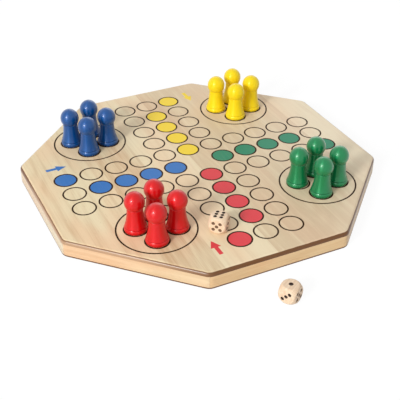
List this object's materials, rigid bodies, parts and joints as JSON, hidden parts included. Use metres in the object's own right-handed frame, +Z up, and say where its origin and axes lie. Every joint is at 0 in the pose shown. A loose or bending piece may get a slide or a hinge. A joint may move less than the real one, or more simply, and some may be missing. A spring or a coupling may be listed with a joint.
{
  "type": "ludo board set",
  "caption": "Octagonal wooden ludo board with turned pawns standing in the four homes and a pair of rounded dice.",
  "frame": {"origin": "centre of the board's underside", "axes": "+Z up out of the playing face; +X towards the board's flat between the yellow and green homes; +Y towards the flat between the blue and yellow homes"},
  "size_m": [0.4, 0.4593, 0.0683],
  "materials": {
    "panel_wood": "clear satin varnish, brown stain on the rounded edge",
    "rim_wood": "clear satin varnish",
    "underside_wood": "bare plywood, brown stain on the rounded edge",
    "batten_wood": "bare sawn softwood",
    "blue_paint": "semi-gloss paint",
    "yellow_paint": "semi-gloss paint",
    "green_paint": "semi-gloss paint",
    "red_paint": "semi-gloss paint",
    "dice_wood": "clear satin varnish, dark brown pips"
  },
  "bodies": {
    "board": {"top_panel": "panel_wood", "bottom_panel": "underside_wood", "rim_rail_1": "rim_wood", "rim_rail_2": "rim_wood", "rim_rail_3": "rim_wood", "rim_rail_4": "rim_wood", "rim_rail_5": "rim_wood", "rim_rail_6": "rim_wood", "rim_rail_7": "rim_wood", "rim_rail_8": "rim_wood", "batten_lengthwise": "batten_wood", "batten_crosswise": "batten_wood"},
    "blue_pawn_1": {"blue_pawn_1": "blue_paint"},
    "blue_pawn_2": {"blue_pawn_2": "blue_paint"},
    "blue_pawn_3": {"blue_pawn_3": "blue_paint"},
    "blue_pawn_4": {"blue_pawn_4": "blue_paint"},
    "yellow_pawn_1": {"yellow_pawn_1": "yellow_paint"},
    "yellow_pawn_2": {"yellow_pawn_2": "yellow_paint"},
    "yellow_pawn_3": {"yellow_pawn_3": "yellow_paint"},
    "yellow_pawn_4": {"yellow_pawn_4": "yellow_paint"},
    "green_pawn_1": {"green_pawn_1": "green_paint"},
    "green_pawn_2": {"green_pawn_2": "green_paint"},
    "green_pawn_3": {"green_pawn_3": "green_paint"},
    "green_pawn_4": {"green_pawn_4": "green_paint"},
    "red_pawn_1": {"red_pawn_1": "red_paint"},
    "red_pawn_2": {"red_pawn_2": "red_paint"},
    "red_pawn_3": {"red_pawn_3": "red_paint"},
    "red_pawn_4": {"red_pawn_4": "red_paint"},
    "board_die": {"board_die": "dice_wood"},
    "loose_die": {"loose_die": "dice_wood"}
  },
  "joints": [
    {"name": "blue_pawn_1_lift", "type": "slide", "parent": "board", "child": "blue_pawn_1", "axis": [0, 0, 1], "range_m": [0, 0.06]},
    {"name": "blue_pawn_2_lift", "type": "slide", "parent": "board", "child": "blue_pawn_2", "axis": [0, 0, 1], "range_m": [0, 0.06]},
    {"name": "blue_pawn_3_lift", "type": "slide", "parent": "board", "child": "blue_pawn_3", "axis": [0, 0, 1], "range_m": [0, 0.06]},
    {"name": "blue_pawn_4_lift", "type": "slide", "parent": "board", "child": "blue_pawn_4", "axis": [0, 0, 1], "range_m": [0, 0.06]},
    {"name": "yellow_pawn_1_lift", "type": "slide", "parent": "board", "child": "yellow_pawn_1", "axis": [0, 0, 1], "range_m": [0, 0.06]},
    {"name": "yellow_pawn_2_lift", "type": "slide", "parent": "board", "child": "yellow_pawn_2", "axis": [0, 0, 1], "range_m": [0, 0.06]},
    {"name": "yellow_pawn_3_lift", "type": "slide", "parent": "board", "child": "yellow_pawn_3", "axis": [0, 0, 1], "range_m": [0, 0.06]},
    {"name": "yellow_pawn_4_lift", "type": "slide", "parent": "board", "child": "yellow_pawn_4", "axis": [0, 0, 1], "range_m": [0, 0.06]},
    {"name": "green_pawn_1_lift", "type": "slide", "parent": "board", "child": "green_pawn_1", "axis": [0, 0, 1], "range_m": [0, 0.06]},
    {"name": "green_pawn_2_lift", "type": "slide", "parent": "board", "child": "green_pawn_2", "axis": [0, 0, 1], "range_m": [0, 0.06]},
    {"name": "green_pawn_3_lift", "type": "slide", "parent": "board", "child": "green_pawn_3", "axis": [0, 0, 1], "range_m": [0, 0.06]},
    {"name": "green_pawn_4_lift", "type": "slide", "parent": "board", "child": "green_pawn_4", "axis": [0, 0, 1], "range_m": [0, 0.06]},
    {"name": "red_pawn_1_lift", "type": "slide", "parent": "board", "child": "red_pawn_1", "axis": [0, 0, 1], "range_m": [0, 0.06]},
    {"name": "red_pawn_2_lift", "type": "slide", "parent": "board", "child": "red_pawn_2", "axis": [0, 0, 1], "range_m": [0, 0.06]},
    {"name": "red_pawn_3_lift", "type": "slide", "parent": "board", "child": "red_pawn_3", "axis": [0, 0, 1], "range_m": [0, 0.06]},
    {"name": "red_pawn_4_lift", "type": "slide", "parent": "board", "child": "red_pawn_4", "axis": [0, 0, 1], "range_m": [0, 0.06]},
    {"name": "board_die_lift", "type": "slide", "parent": "board", "child": "board_die", "axis": [0, 0, 1], "range_m": [0, 0.06]},
    {"name": "loose_die_lift", "type": "slide", "parent": "board", "child": "loose_die", "axis": [0, 0, 1], "range_m": [0, 0.06]}
  ]
}
